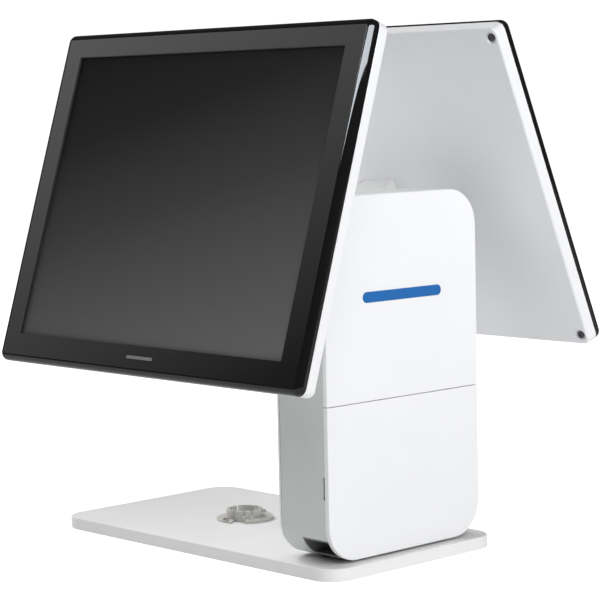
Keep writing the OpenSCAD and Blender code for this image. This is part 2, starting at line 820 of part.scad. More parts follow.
base_plate();
rubber_feet();
pole_socket();
socket_screws();
column_gasket();
column_screws();
column_band();
left_cover();
right_cover();
service_cover();
side_badge();
outlet_duct();
chassis_plate();
power_button();
power_switch();
speaker();
mainboard();
board_standoffs();
heat_sink();
memory_module();
storage_module();
connector_block();
connector_bracket();
display_cables();
hinge_bracket();
bracket_screws();
hinge_housing();
housing_lid();
hinge_pin(-operator_hinge_y);  // operator_hinge_pin
friction_washers(-operator_hinge_y);  // operator_friction_washers
hinge_pin(customer_hinge_y);  // customer_hinge_pin
friction_washers(customer_hinge_y);  // customer_friction_washers
pin_nuts();
operator_place() glass();  // operator_touch_glass
operator_place() bezel();  // operator_bezel
operator_place() lcd();  // operator_lcd
operator_place() panel_bracket();  // operator_panel_bracket
operator_place() driver_board();  // operator_driver_board
operator_place() shell();  // operator_shell
operator_place() shell_screws();  // operator_shell_screws
operator_place() tilt_arm();  // operator_tilt_arm
operator_place() arm_screws();  // operator_arm_screws
operator_place() monitor_cable();  // operator_cable
operator_place() badge();  // operator_badge
customer_place() glass();  // customer_cover_glass
customer_place() bezel();  // customer_bezel
customer_place() lcd();  // customer_lcd
customer_place() panel_bracket();  // customer_panel_bracket
customer_place() driver_board();  // customer_driver_board
customer_place() shell();  // customer_shell
customer_place() shell_screws();  // customer_shell_screws
customer_place() tilt_arm();  // customer_tilt_arm
customer_place() arm_screws();  // customer_arm_screws
customer_place() monitor_cable();  // customer_cable
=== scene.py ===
"""Looks for the dual-screen point-of-sale terminal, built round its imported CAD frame.

Lengths in the code are millimetres times MM. A monitor's own frame has X across the glass,
Y from the glass to the back and Z up the glass, with its origin in the middle of the glass.
"""

import json
import math

import bmesh
import bpy
from mathutils import Matrix, Vector


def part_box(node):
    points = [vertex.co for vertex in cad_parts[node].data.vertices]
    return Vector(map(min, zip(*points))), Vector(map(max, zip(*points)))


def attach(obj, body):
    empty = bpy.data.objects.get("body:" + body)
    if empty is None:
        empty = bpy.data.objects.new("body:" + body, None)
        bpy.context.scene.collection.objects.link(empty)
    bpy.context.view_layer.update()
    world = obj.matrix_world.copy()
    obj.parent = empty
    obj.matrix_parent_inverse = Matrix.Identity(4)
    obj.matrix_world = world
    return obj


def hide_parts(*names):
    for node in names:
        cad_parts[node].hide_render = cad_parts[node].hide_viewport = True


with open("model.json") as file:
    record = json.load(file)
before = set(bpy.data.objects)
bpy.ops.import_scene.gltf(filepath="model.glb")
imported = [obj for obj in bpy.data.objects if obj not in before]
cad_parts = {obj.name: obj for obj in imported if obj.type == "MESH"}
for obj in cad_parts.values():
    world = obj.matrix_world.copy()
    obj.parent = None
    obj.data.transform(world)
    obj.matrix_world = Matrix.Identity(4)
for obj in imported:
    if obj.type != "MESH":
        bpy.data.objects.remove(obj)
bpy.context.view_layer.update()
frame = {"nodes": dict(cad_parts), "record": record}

MM = 0.001
SHARP_ANGLE = math.radians(32)
FLAT_ANGLE = math.radians(0.6)
SAME_POINT = 2e-6
ARC_STEPS = 12
FINE_EDGE = 0.25 * MM

# Monitor
GLASS_T = 1.8 * MM
BEZEL_D = 7.5 * MM
MONITOR_D = 17.4 * MM
EDGE_R = 5 * MM
CORNER_R = 6.7 * MM
SHELL_DRAFT = 0.7 * MM
SHELL_WALL = 2.2 * MM
BACK_EDGE_R = 1.8 * MM
LCD_GAP = 0.75 * MM
LCD_T = 6.8 * MM
SCREEN_W = 304.1 * MM
SCREEN_H = 228.1 * MM
SCREEN_UP = 1.1 * MM
RECESS_R = 5 * MM
RECESS_FLOOR_R = 3.3 * MM
RECESS_D = 1.8 * MM
GLASS_EDGE = 0.15 * MM
GLASS_GAP = 0.15 * MM
GLASS_BOND = 0.1 * MM
BEZEL_CHAMFER = 0.3 * MM
FACE_GAP = 0.01 * MM
LCD_CORNER_R = 2 * MM
LCD_EDGE = 0.5 * MM
LCD_CLEARANCE = 0.15 * MM
SHELL_LIP = 0.35 * MM

# Column and base
COLUMN_R = 28 * MM
COVER_POCKET = 1 * MM
COVER_RIM = 3 * MM
COVER_EDGE = 0.9 * MM
COVER_SEAM_R = 0.6 * MM
LEFT_GROOVE = 0.55 * MM
RIGHT_GROOVE = 0.15 * MM
SEAM_EDGE = 0.15 * MM
BAND_WALL = 2.4 * MM
BAND_EDGE = 0.25 * MM
POST_R = 5 * MM
POST_HEIGHTS = (45 * MM, 112 * MM, 150 * MM, 240 * MM)
PEG_R = 2 * MM
PEG_LENGTH = 8 * MM
PEG_ROOT = 1.5 * MM
PEG_EDGE = 0.4 * MM
NOTCH_X = 92.7 * MM
NOTCH_TOP = 29.8 * MM
NOTCH_BACK = -60 * MM
SLOT_LOW = 60.6 * MM
SLOT_HIGH = 77.4 * MM
SLOT_W = 2 * MM
SLOT_D = 4 * MM
BRACKET_WAY_Y = 41 * MM
BRACKET_WAY_LOW = 231 * MM
BRACKET_WAY_HIGH = 268 * MM
GRILLE_Y = 30 * MM
GRILLE_Z = 60 * MM
GRILLE_HOLE_R = 1.2 * MM
GRILLE_STEP_Y = 4 * MM
GRILLE_STEP_Z = 5 * MM
BUTTON_HOLE_R = 5.05 * MM
BASE_R = 20 * MM
BASE_EDGE_LOW = 0.4 * MM
BASE_EDGE_HIGH = 0.7 * MM
FOOT_R = 8.1 * MM
FOOT_INSET = 20 * MM
FOOT_POCKET_D = 0.8 * MM
COLUMN_SCREW_HEAD_R = 5 * MM
COLUMN_SCREW_HOLE_R = 2.6 * MM
COLUMN_SINK_R = 5.4 * MM
COLUMN_SINK_D = 3 * MM
CABLE_HOLE_R = 7 * MM
BEYOND = 10 * MM


# ---------- Outlines and meshes ----------


def outline(width, height, radii, inset=0.0, centre=(0.0, 0.0)):
    """Rounded rectangle, anticlockwise from its lower right corner, shrunk by inset."""
    half_w, half_h = width / 2 - inset, height / 2 - inset
    corners = ((1, -1, -90), (1, 1, 0), (-1, 1, 90), (-1, -1, 180))
    points = []
    for (sx, sy, start), radius in zip(corners, radii):
        r = max(radius - inset, 0.03 * MM)
        for i in range(ARC_STEPS + 1):
            angle = math.radians(start + 90 * i / ARC_STEPS)
            x = sx * (half_w - r) + r * math.cos(angle)
            y = sy * (half_h - r) + r * math.sin(angle)
            points.append((centre[0] + x, centre[1] + y))
    return points


def fillet(radius, depth, towards, steps=6):
    """(inset, depth) pairs of a quarter round that ends flush with the side wall.

    depth is where the flat face lies, and towards is 1 if the wall lies deeper, else -1.
    """
    pairs = []
    for i in range(steps + 1):
        angle = math.radians(90 * i / steps)
        inset = radius - radius * math.sin(angle)
        pairs.append((inset, depth + towards * (radius - radius * math.cos(angle))))
    return pairs


def shade(mesh_data):
    """Smooth faces, with edges over SHARP_ANGLE kept sharp."""
    mesh = bmesh.new()
    mesh.from_mesh(mesh_data)
    for face in mesh.faces:
        face.smooth = True
    for edge in mesh.edges:
        edge.smooth = len(edge.link_faces) == 2 and edge.calc_face_angle(0) < SHARP_ANGLE
    mesh.to_mesh(mesh_data)
    mesh.free()


def new_object(name, mesh):
    """Object from a bmesh, shaded and linked to the scene."""
    bmesh.ops.recalc_face_normals(mesh, faces=mesh.faces)
    data = bpy.data.meshes.new(name)
    mesh.to_mesh(data)
    mesh.free()
    shade(data)
    obj = bpy.data.objects.new(name, data)
    bpy.context.scene.collection.objects.link(obj)
    return obj


def loft(name, rings, place, closed=False):
    """Skins rings of ((a, b) outline, depth) with quads, and caps the ends unless closed.

    place(a, b, depth) gives the point in the part's frame. UVs hold (a, b) in metres.
    """
    mesh = bmesh.new()
    uv_layer = mesh.loops.layers.uv.new("UVMap")
    flat = {}
    loops = []
    for points, depth in rings:
        loop = []
        for a, b in points:
            vertex = mesh.verts.new(place(a, b, depth))
            flat[vertex] = (a, b)
            loop.append(vertex)
        loops.append(loop)
    pairs = list(zip(loops, loops[1:]))
    if closed:
        pairs.append((loops[-1], loops[0]))
    for near, far in pairs:
        count = len(near)
        for i in range(count):
            j = (i + 1) % count
            mesh.faces.new((near[i], near[j], far[j], far[i]))
    if not closed:
        mesh.faces.new(loops[0])
        mesh.faces.new(loops[-1])
    for face in mesh.faces:
        for corner in face.loops:
            corner[uv_layer].uv = flat[corner.vert]
    return new_object(name, mesh)


def across_monitor(matrix):
    """Places (x, z, depth) of a monitor's own frame."""
    return lambda a, b, depth: matrix @ Vector((a, depth, b))


def along_x(a, b, depth):
    """Places an outline in the YZ plane at x = depth."""
    return Vector((depth, a, b))


def along_z(a, b, depth):
    """Places an outline in the XY plane at z = depth."""
    return Vector((a, b, depth))


def tube(name, start, end, radius, steps=40, round_r=0.0):
    """Round bar between two points, with its rims rounded by round_r."""
    axis = end - start
    length = axis.length
    turn = axis.to_track_quat("Z", "Y").to_matrix()
    profile = [(radius - inset, d) for inset, d in fillet(round_r, 0, 1, 3)]
    profile += [(radius - inset, d) for inset, d in reversed(fillet(round_r, length, -1, 3))]
    mesh = bmesh.new()
    loops = []
    for r, d in profile:
        loop = []
        for i in range(steps):
            angle = 2 * math.pi * i / steps
            point = Vector((r * math.cos(angle), r * math.sin(angle), d))
            loop.append(mesh.verts.new(start + turn @ point))
        loops.append(loop)
    mesh.faces.new(loops[0])
    mesh.faces.new(loops[-1])
    for near, far in zip(loops, loops[1:]):
        for i in range(steps):
            j = (i + 1) % steps
            mesh.faces.new((near[i], near[j], far[j], far[i]))
    bmesh.ops.remove_doubles(mesh, verts=mesh.verts, dist=1e-7)
    return new_object(name, mesh)


def block(name, low, high):
    """Box between two corners, used as a cutter."""
    mesh = bmesh.new()
    bmesh.ops.create_cube(mesh, size=1)
    size, middle = high - low, (low + high) / 2
    for vertex in mesh.verts:
        vertex.co = middle + Vector(c * s for c, s in zip(vertex.co, size))
    return new_object(name, mesh)


def bake(obj):
    """Replaces the object's mesh with the result of its modifiers."""
    graph = bpy.context.evaluated_depsgraph_get()
    graph.update()
    data = bpy.data.meshes.new_from_object(obj.evaluated_get(graph))
    obj.modifiers.clear()
    obj.data = data
    shade(data)


def combine(obj, tools, operation):
    """Cuts tools out of obj, or adds them to it, and deletes the tools."""
    for tool in tools:
        step = obj.modifiers.new("combine", "BOOLEAN")
        step.operation = operation
        step.solver = "EXACT"
        step.object = tool
    bake(obj)
    for tool in tools:
        bpy.data.objects.remove(tool)


def soften(node, width=FINE_EDGE):
    """Copy of a CAD node with its flat faces cleaned and its edges rounded."""
    source = frame["nodes"][node]
    mesh = bmesh.new()
    mesh.from_mesh(source.data)
    bmesh.ops.remove_doubles(mesh, verts=mesh.verts, dist=SAME_POINT)
    bmesh.ops.dissolve_limit(mesh, angle_limit=FLAT_ANGLE, verts=mesh.verts, edges=mesh.edges)
    obj = new_object(node + "_fine", mesh)
    round_edges(obj, width)
    return obj


def round_edges(obj, width):
    """Bevels sharp edges and bakes the result."""
    step = obj.modifiers.new("round", "BEVEL")
    step.width = width
    step.segments = 2
    step.limit_method = "ANGLE"
    step.angle_limit = SHARP_ANGLE
    step.use_clamp_overlap = True
    bake(obj)


# ---------- Materials ----------

CLOUD_SIZE = 45 * MM
ROUGHNESS_SPREAD = 0.06
SMEAR_SIZE = 60 * MM
PRINT_ROUGHNESS = (0.03, 0.09)
LCD_ROUGHNESS = (0.04, 0.10)
LCD_SPECULAR = 0.17
PAD_SIZE = 4 * MM


def new_material(name):
    """Material and its main shader."""
    material = bpy.data.materials.new(name)
    material.use_nodes = True
    return material, material.node_tree.nodes["Principled BSDF"]


def add_node(material, kind, **values):
    """Adds a shader node and sets its properties or inputs by name."""
    item = material.node_tree.nodes.new(kind)
    for key, value in values.items():
        if hasattr(item, key):
            setattr(item, key, value)
        else:
            item.inputs[key.replace("_", " ")].default_value = value
    return item


def connect(material, source, target):
    material.node_tree.links.new(source, target)


def noise(material, size, detail=2.0, stretch=(1, 1, 1)):
    """Noise whose features are about size metres across, in object space."""
    space = add_node(material, "ShaderNodeTexCoord")
    scaled = add_node(material, "ShaderNodeMapping")
    scaled.inputs["Scale"].default_value = [s / size for s in stretch]
    texture = add_node(material, "ShaderNodeTexNoise", Scale=1.0, Detail=detail)
    connect(material, space.outputs["Object"], scaled.inputs["Vector"])
    connect(material, scaled.outputs["Vector"], texture.inputs["Vector"])
    return texture.outputs["Fac"]


def ramp(material, factor, stops):
    """Colour ramp through (position, rgb) stops."""
    item = add_node(material, "ShaderNodeValToRGB")
    elements = item.color_ramp.elements
    while len(elements) < len(stops):
        elements.new(0.5)
    for element, (position, colour) in zip(elements, stops):
        element.position = position
        element.color = (*colour, 1)
    connect(material, factor, item.inputs["Fac"])
    return item.outputs["Color"]


def remap(material, factor, low, high):
    """Stretches a 0 to 1 factor to low to high."""
    item = add_node(material, "ShaderNodeMapRange")
    item.inputs["To Min"].default_value = low
    item.inputs["To Max"].default_value = high
    connect(material, factor, item.inputs["Value"])
    return item.outputs["Result"]


def surface(name, colour, roughness, grain, depth, mottle, metallic=0.0, stretch=(1, 1, 1)):
    """Opaque material with cloudy tone, uneven roughness and a fine moulded or brushed grain.

    grain and depth are the grain's size and height, and mottle is the share the tone varies.
    """
    material, shader = new_material(name)
    cloud = noise(material, CLOUD_SIZE, 3.0)
    darker = [c * (1 - mottle) for c in colour]
    lighter = [min(1.0, c * (1 + mottle)) for c in colour]
    connect(material, ramp(material, cloud, ((0.3, darker), (0.7, lighter))),
            shader.inputs["Base Color"])
    fine = noise(material, grain, 2.0, stretch)
    uneven = remap(material, fine, roughness - ROUGHNESS_SPREAD, roughness + ROUGHNESS_SPREAD)
    connect(material, uneven, shader.inputs["Roughness"])
    bump = add_node(material, "ShaderNodeBump", Strength=1.0, Distance=depth)
    connect(material, fine, bump.inputs["Height"])
    connect(material, bump.outputs["Normal"], shader.inputs["Normal"])
    shader.inputs["Metallic"].default_value = metallic
    return material


def uv_value(material, direction, low, high):
    """0 to 1 along a direction of the piece's own (across, up) frame, between two distances."""
    space = add_node(material, "ShaderNodeUVMap", uv_map="UVMap")
    product = add_node(material, "ShaderNodeVectorMath", operation="DOT_PRODUCT")
    product.inputs[1].default_value = (direction[0], direction[1], 0)
    connect(material, space.outputs["UV"], product.inputs[0])
    item = add_node(material, "ShaderNodeMapRange")
    item.inputs["From Min"].default_value = low
    item.inputs["From Max"].default_value = high
    connect(material, product.outputs["Value"], item.inputs["Value"])
    return item.outputs["Result"]


# Direction and reach of the painted reflection across the print, and grey value along it
PRINT_PAINTED_REFLECTION_WAY = (-0.45, 0.89)
PRINT_PAINTED_REFLECTION_REACH = (-180 * MM, 190 * MM)
PRINT_PAINTED_REFLECTION = ((0.0, 0.010), (1.0, 0.128))


def glass_material():
    """Clear over the picture area, whose shine is on the display, and black print round it."""
    material, shader = new_material("printed_glass")
    space = add_node(material, "ShaderNodeUVMap", uv_map="UVMap")
    axes = add_node(material, "ShaderNodeSeparateXYZ")
    connect(material, space.outputs["UV"], axes.inputs["Vector"])
    inside = None
    for output, middle, half in (("X", 0.0, SCREEN_W / 2), ("Y", SCREEN_UP, SCREEN_H / 2)):
        offset = add_node(material, "ShaderNodeMath", operation="SUBTRACT")
        offset.inputs[1].default_value = middle
        connect(material, axes.outputs[output], offset.inputs[0])
        distance = add_node(material, "ShaderNodeMath", operation="ABSOLUTE")
        connect(material, offset.outputs[0], distance.inputs[0])
        within = add_node(material, "ShaderNodeMath", operation="LESS_THAN")
        within.inputs[1].default_value = half
        connect(material, distance.outputs[0], within.inputs[0])
        if inside is None:
            inside = within.outputs[0]
        else:
            both = add_node(material, "ShaderNodeMath", operation="MULTIPLY")
            connect(material, inside, both.inputs[0])
            connect(material, within.outputs[0], both.inputs[1])
            inside = both.outputs[0]
    # The print is painted a shade lighter towards the upper left, a painted reflection of the
    # room
    tone = uv_value(material, PRINT_PAINTED_REFLECTION_WAY, *PRINT_PAINTED_REFLECTION_REACH)
    print_and_painted_reflection = ramp(material, tone, [(at, (grey,) * 3) for at, grey in PRINT_PAINTED_REFLECTION])
    connect(material, print_and_painted_reflection, shader.inputs["Base Color"])
    smear = noise(material, SMEAR_SIZE, 3.0)
    connect(material, remap(material, smear, *PRINT_ROUGHNESS), shader.inputs["Roughness"])
    clear = add_node(material, "ShaderNodeBsdfTransparent")
    mix = add_node(material, "ShaderNodeMixShader")
    connect(material, inside, mix.inputs[0])
    connect(material, shader.outputs[0], mix.inputs[1])
    connect(material, clear.outputs[0], mix.inputs[2])
    output = material.node_tree.nodes["Material Output"]
    connect(material, mix.outputs[0], output.inputs["Surface"])
    return material


# Direction and reach of the painted sheen down the display, and grey value along it
LCD_PAINTED_SHEEN_WAY = (0.25, -0.97)
LCD_PAINTED_SHEEN_REACH = (-150 * MM, 150 * MM)
LCD_PAINTED_SHEEN = ((0.0, 0.012), (0.25, 0.022), (0.5, 0.056), (1.0, 0.154))


def lcd_material():
    """Switched-off display behind its glass: dark grey with a faint painted diagonal sheen, and
    shiny.
    """
    material, shader = new_material("lcd_off")
    tone = uv_value(material, LCD_PAINTED_SHEEN_WAY, *LCD_PAINTED_SHEEN_REACH)
    # Painted sheen: the grey lightens down the display and to the right
    painted_sheen = [(position, (grey,) * 3) for position, grey in LCD_PAINTED_SHEEN]
    connect(material, ramp(material, tone, painted_sheen), shader.inputs["Base Color"])
    smear = noise(material, SMEAR_SIZE, 3.0)
    connect(material, remap(material, smear, *LCD_ROUGHNESS), shader.inputs["Roughness"])
    shader.inputs["Specular IOR Level"].default_value = LCD_SPECULAR
    return material


def circuit_material():
    """Green solder mask with small bare copper pads."""
    material, shader = new_material("circuit_board")
    space = add_node(material, "ShaderNodeTexCoord")
    scaled = add_node(material, "ShaderNodeMapping")
    scaled.inputs["Scale"].default_value = [1 / PAD_SIZE] * 3
    cells = add_node(material, "ShaderNodeTexVoronoi", distance="CHEBYCHEV")
    connect(material, space.outputs["Object"], scaled.inputs["Vector"])
    connect(material, scaled.outputs["Vector"], cells.inputs["Vector"])
    colours = ((0.1, (0.45, 0.42, 0.25)), (0.14, (0.01, 0.10, 0.045)), (0.6, (0.015, 0.16, 0.07)))
    connect(material, ramp(material, cells.outputs["Distance"], colours),
            shader.inputs["Base Color"])
    shader.inputs["Roughness"].default_value = 0.35
    return material


MATERIALS = {
    "white_plastic": surface("white_plastic", (0.815, 0.82, 0.835), 0.42, 0.55 * MM, 0.012 * MM,
                             0.008),
    "white_powder_coat": surface("white_powder_coat", (0.80, 0.80, 0.795), 0.40, 1.1 * MM,
                                 0.03 * MM, 0.012),
    "grey_paint": surface("grey_paint", (0.58, 0.605, 0.595), 0.38, 0.35 * MM, 0.008 * MM, 0.02),
    "black_gloss": surface("black_gloss", (0.005, 0.005, 0.0055), 0.07, 8 * MM, 0.002 * MM, 0.1),
    "touch_glass": glass_material(),
    "lcd_face": lcd_material(),
    "zinc_grey": surface("zinc_grey", (0.60, 0.59, 0.555), 0.45, 0.7 * MM, 0.03 * MM, 0.06,
                         metallic=0.1),
    "screw_steel": surface("screw_steel", (0.62, 0.62, 0.64), 0.28, 0.4 * MM, 0.006 * MM, 0.06,
                           metallic=1.0),
    "black_screw": surface("black_screw", (0.10, 0.10, 0.105), 0.3, 0.4 * MM, 0.006 * MM, 0.1,
                           metallic=0.8),
    "sheet_steel": surface("sheet_steel", (0.60, 0.62, 0.64), 0.36, 5 * MM, 0.006 * MM, 0.12,
                           metallic=1.0, stretch=(1, 1, 0.2)),
    "bracket_steel": surface("bracket_steel", (0.03, 0.03, 0.032), 0.42, 0.8 * MM, 0.015 * MM,
                             0.1),
    "rubber_black": surface("rubber_black", (0.02, 0.02, 0.02), 0.75, 0.5 * MM, 0.02 * MM, 0.15),
    "dark_plastic": surface("dark_plastic", (0.16, 0.162, 0.165), 0.5, 0.5 * MM, 0.012 * MM,
                            0.1),
    "circuit_board": circuit_material(),
    "alloy_fins": surface("alloy_fins", (0.70, 0.71, 0.73), 0.32, 1.5 * MM, 0.008 * MM, 0.05,
                          metallic=1.0, stretch=(1, 1, 0.1)),
    "brass_pillars": surface("brass_pillars", (0.72, 0.52, 0.22), 0.3, 0.5 * MM, 0.006 * MM,
                             0.06, metallic=1.0),
    "friction_disc": surface("friction_disc", (0.45, 0.27, 0.13), 0.45, 0.4 * MM, 0.01 * MM, 0.1,
                             metallic=0.9),
    "cable_jacket": surface("cable_jacket", (0.018, 0.018, 0.018), 0.5, 0.8 * MM, 0.015 * MM,
                            0.1),
    "blue_print": surface("blue_print", (0.006, 0.125, 0.40), 0.35, 0.3 * MM, 0.003 * MM, 0.03),
    "silver_print": surface("silver_print", (0.50, 0.51, 0.53), 0.35, 0.3 * MM, 0.003 * MM,
                            0.04, metallic=0.7),
    "button_grey": surface("button_grey", (0.20, 0.205, 0.21), 0.4, 0.5 * MM, 0.01 * MM, 0.05),
}
SLOT_OF = {s["node"]: s["material_slot"] for s in frame["record"]["subparts"]}


def dress(obj, slot_name):
    """Gives a piece the material of a record slot."""
    obj.data.materials.clear()
    obj.data.materials.append(MATERIALS[slot_name])


def finish_piece(obj, body, node):
    """Gives a new piece its material, clean flats and its body, and hides the CAD node it
    replaces.
    """
    weighted = obj.modifiers.new("weighted", "WEIGHTED_NORMAL")
    weighted.keep_sharp = True
    slot_name = SLOT_OF[node]
    dress(obj, slot_name)
    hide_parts(node)
    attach(obj, body)


# ---------- Monitors ----------


def monitor_matrix(glass_node):
    """The monitor's own frame, read from the CAD glass."""
    data = frame["nodes"][glass_node].data
    inward = max(data.polygons, key=lambda face: face.area).normal.copy()
    low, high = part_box(glass_node)
    middle = (low + high) / 2
    if inward.dot(middle * Vector((0, 1, 0))) > 0:
        inward = -inward
    up = (Vector((0, 0, 1)) - inward * inward.z).normalized()
    across = inward.cross(up)
    face = middle - inward * GLASS_T / 2
    matrix = Matrix((across, inward, up)).transposed().to_4x4()
    matrix.translation = face
    return matrix


def monitor_size(node, matrix):
    """Width and height of a CAD node in the monitor's own frame."""
    inverse = matrix.inverted()
    points = [inverse @ v.co for v in frame["nodes"][node].data.vertices]
    width = max(p.x for p in points) - min(p.x for p in points)
    height = max(p.z for p in points) - min(p.z for p in points)
    return width, height


def build_glass(prefix, node, matrix):
    """Pane with fine rounded edges."""
    width, height = monitor_size(node, matrix)
    radii = [CORNER_R - EDGE_R] * 4
    front = fillet(GLASS_EDGE, 0, 1, 4)
    back = fillet(GLASS_EDGE, GLASS_T, -1, 2)
    rings = [(outline(width, height, radii, inset), depth)
             for inset, depth in front + list(reversed(back))]
    return loft(prefix + "_glass_pane", rings, across_monitor(matrix))


def build_bezel(prefix, matrix):
    """Frame with its rounded rim, the glass's pocket and the ledge round the display."""
    width, height = monitor_size(prefix + "_bezel", matrix)
    lcd_width, lcd_height = monitor_size(prefix + "_lcd", matrix)
    pocket = EDGE_R - GLASS_GAP
    pocket_d = GLASS_T + GLASS_BOND
    profile = [(i, d) for i, d in fillet(EDGE_R, 0, 1, 10) if i <= pocket]
    profile += [(0, BEZEL_D - BEZEL_CHAMFER), (BEZEL_CHAMFER, BEZEL_D)]
    outer = [(outline(width, height, [CORNER_R] * 4, inset), depth) for inset, depth in profile]
    opening = outline(lcd_width, lcd_height, [LCD_CORNER_R] * 4, -LCD_GAP)
    inner = [(opening, BEZEL_D), (opening, pocket_d)]
    inner += [(outline(width, height, [CORNER_R] * 4, pocket), d) for d in (pocket_d, FACE_GAP)]
    return loft(prefix + "_bezel_ring", outer + inner, across_monitor(matrix), closed=True)


def build_shell(prefix, matrix):
    """Hollow rear moulding with a dished recess round each corner screw."""
    width, height = monitor_size(prefix + "_bezel", matrix)
    profile = [(SHELL_WALL, BEZEL_D), (SHELL_LIP, BEZEL_D), (0, BEZEL_D + SHELL_LIP)]
    rounded = fillet(BACK_EDGE_R, MONITOR_D, -1, 6)
    profile += [(SHELL_DRAFT + inset, depth) for inset, depth in reversed(rounded)]
    outer = [(outline(width, height, [CORNER_R] * 4, inset), depth) for inset, depth in profile]
    inner_depth = MONITOR_D - SHELL_WALL
    inner = [(outline(width, height, [CORNER_R] * 4, SHELL_WALL + SHELL_DRAFT), inner_depth),
             (outline(width, height, [CORNER_R] * 4, SHELL_WALL), BEZEL_D + 2 * FACE_GAP)]
    shell = loft(prefix + "_shell_moulding", inner + outer, across_monitor(matrix))
    recesses = []
    slope = (RECESS_R - RECESS_FLOOR_R) / RECESS_D
    for head in screw_heads(prefix, matrix):
        rings = []
        for depth in (-RECESS_D, 1 * MM):
            r = RECESS_R + slope * depth
            circle = outline(2 * r, 2 * r, [0.98 * r] * 4, 0, (head.x, head.z))
            rings.append((circle, MONITOR_D + depth))
        recesses.append(loft("recess", rings, across_monitor(matrix)))
    combine(shell, recesses, "DIFFERENCE")
    return shell


def screw_heads(prefix, matrix):
    """Middles of the four corner screws in the monitor's own frame."""
    inverse = matrix.inverted()
    points = [inverse @ v.co for v in frame["nodes"][prefix + "_shell_screws"].data.vertices]
    heads = []
    for sx in (-1, 1):
        for sz in (-1, 1):
            near = [p for p in points if p.x * sx > 0 and p.z * sz > 0]
            x = (min(p.x for p in near) + max(p.x for p in near)) / 2
            z = (min(p.z for p in near) + max(p.z for p in near)) / 2
            heads.append(Vector((x, MONITOR_D, z)))
    return heads


def build_lcd(prefix, matrix):
    """Display module with rounded edges."""
    width, height = monitor_size(prefix + "_lcd", matrix)
    depth = GLASS_T + LCD_CLEARANCE
    profile = fillet(LCD_EDGE, depth, 1, 2)
    profile += list(reversed(fillet(LCD_EDGE, depth + LCD_T, -1, 2)))
    rings = [(outline(width, height, [LCD_CORNER_R] * 4, inset), d) for inset, d in profile]
    return loft(prefix + "_lcd_module", rings, across_monitor(matrix))


def build_monitor(prefix, glass_node):
    body = prefix + "_monitor"
    matrix = monitor_matrix(glass_node)
    finish_piece(build_glass(prefix, glass_node, matrix), body, glass_node)
    finish_piece(build_bezel(prefix, matrix), body, prefix + "_bezel")
    finish_piece(build_shell(prefix, matrix), body, prefix + "_shell")
    finish_piece(build_lcd(prefix, matrix), body, prefix + "_lcd")
    for part in ("tilt_arm", "shell_screws", "arm_screws"):
        node = prefix + "_" + part
        finish_piece(soften(node), body, node)


# ---------- Column ----------


def column_size():
    """Depth, height and (y, z) middle of the column."""
    low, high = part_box("column_band")
    return high.y - low.y, high.z - low.z, ((low.y + high.y) / 2, (low.z + high.z) / 2)


def posts(low_z, high_z):
    """(y, z) places of the snap posts inside the column between two heights."""
    depth, _, _ = column_size()
    y = depth / 2 - BAND_WALL - POST_R + 1 * MM
    return [(s * y, z) for s in (-1, 1) for z in POST_HEIGHTS if low_z < z < high_z]


def cover_outline(low, high, at_top, at_foot, inset):
    """Outline of a cover with an end that meets another cover kept almost sharp."""
    seam_slack = inset - min(inset, SEAM_EDGE)
    low_z = low.z if at_foot else low.z - seam_slack
    high_z = high.z if at_top else high.z + seam_slack
    foot_r = COLUMN_R if at_foot else COVER_SEAM_R
    top_r = COLUMN_R if at_top else COVER_SEAM_R
    centre = ((low.y + high.y) / 2, (low_z + high_z) / 2)
    return outline(high.y - low.y, high_z - low_z, (foot_r, top_r, top_r, foot_r), inset, centre)


def build_cover(name, node, way, groove):
    """Cover plate with a rounded outer edge, a groove beside the band and a shallow pocket.

    way is its inward X sign.
    """
    low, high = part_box(node)
    band_low, band_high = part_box("column_band")
    outer_x, inner_x = (low.x, band_low.x) if way > 0 else (high.x, band_high.x)
    at_top, at_foot = high.z > band_high.z - 1 * MM, low.z < band_low.z + 1 * MM
    groove_x = inner_x - way * groove
    pairs = fillet(COVER_EDGE, outer_x, way, 5)
    pairs += [(0, groove_x), (2 * groove, groove_x), (2 * groove, inner_x), (COVER_RIM, inner_x),
              (COVER_RIM + 0.2 * MM, inner_x - way * COVER_POCKET)]
    rings = [(cover_outline(low, high, at_top, at_foot, inset), x) for inset, x in pairs]
    cover = loft(name, rings, along_x)
    pegs = []
    for y, z in posts(low.z, high.z):
        start = Vector((outer_x + way * PEG_ROOT, y, z))
        end = Vector((inner_x + way * PEG_LENGTH, y, z))
        pegs.append(tube("peg", start, end, PEG_R, steps=24, round_r=PEG_EDGE))
    combine(cover, pegs, "UNION")
    return cover


def build_band():
    """Grey band with its cable notch, pry slot and snap posts."""
    low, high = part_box("column_band")
    width, height, centre = column_size()
    profile = [(BAND_EDGE, low.x), (0, low.x + BAND_EDGE), (0, high.x - BAND_EDGE),
               (BAND_EDGE, high.x), (BAND_WALL, high.x), (BAND_WALL, low.x)]
    rings = [(outline(width, height, [COLUMN_R] * 4, inset, centre), x) for inset, x in profile]
    band = loft("column_band_shell", rings, along_x, closed=True)
    notch = block("notch", Vector((NOTCH_X, low.y - BEYOND, 0)),
                  Vector((high.x + BEYOND, NOTCH_BACK, NOTCH_TOP)))
    slot = block("slot", Vector((high.x - SLOT_W, low.y - BEYOND, SLOT_LOW)),
                 Vector((high.x + BEYOND, low.y + SLOT_D, SLOT_HIGH)))
    combine(band, [notch, slot], "DIFFERENCE")
    sleeves = []
    bores = []
    for y, z in posts(low.z, high.z):
        sleeves.append(tube("post", Vector((low.x + 0.1 * MM, y, z)),
                            Vector((high.x - 0.1 * MM, y, z)), POST_R, steps=32))
        for x in (low.x - 1 * MM, high.x - PEG_LENGTH - 1 * MM):
            bores.append(tube("bore", Vector((x, y, z)), Vector((x + PEG_LENGTH + 2 * MM, y, z)),
                              PEG_R + 0.05 * MM, steps=24))
    combine(band, sleeves, "UNION")
    combine(band, bores, "DIFFERENCE")
    return band


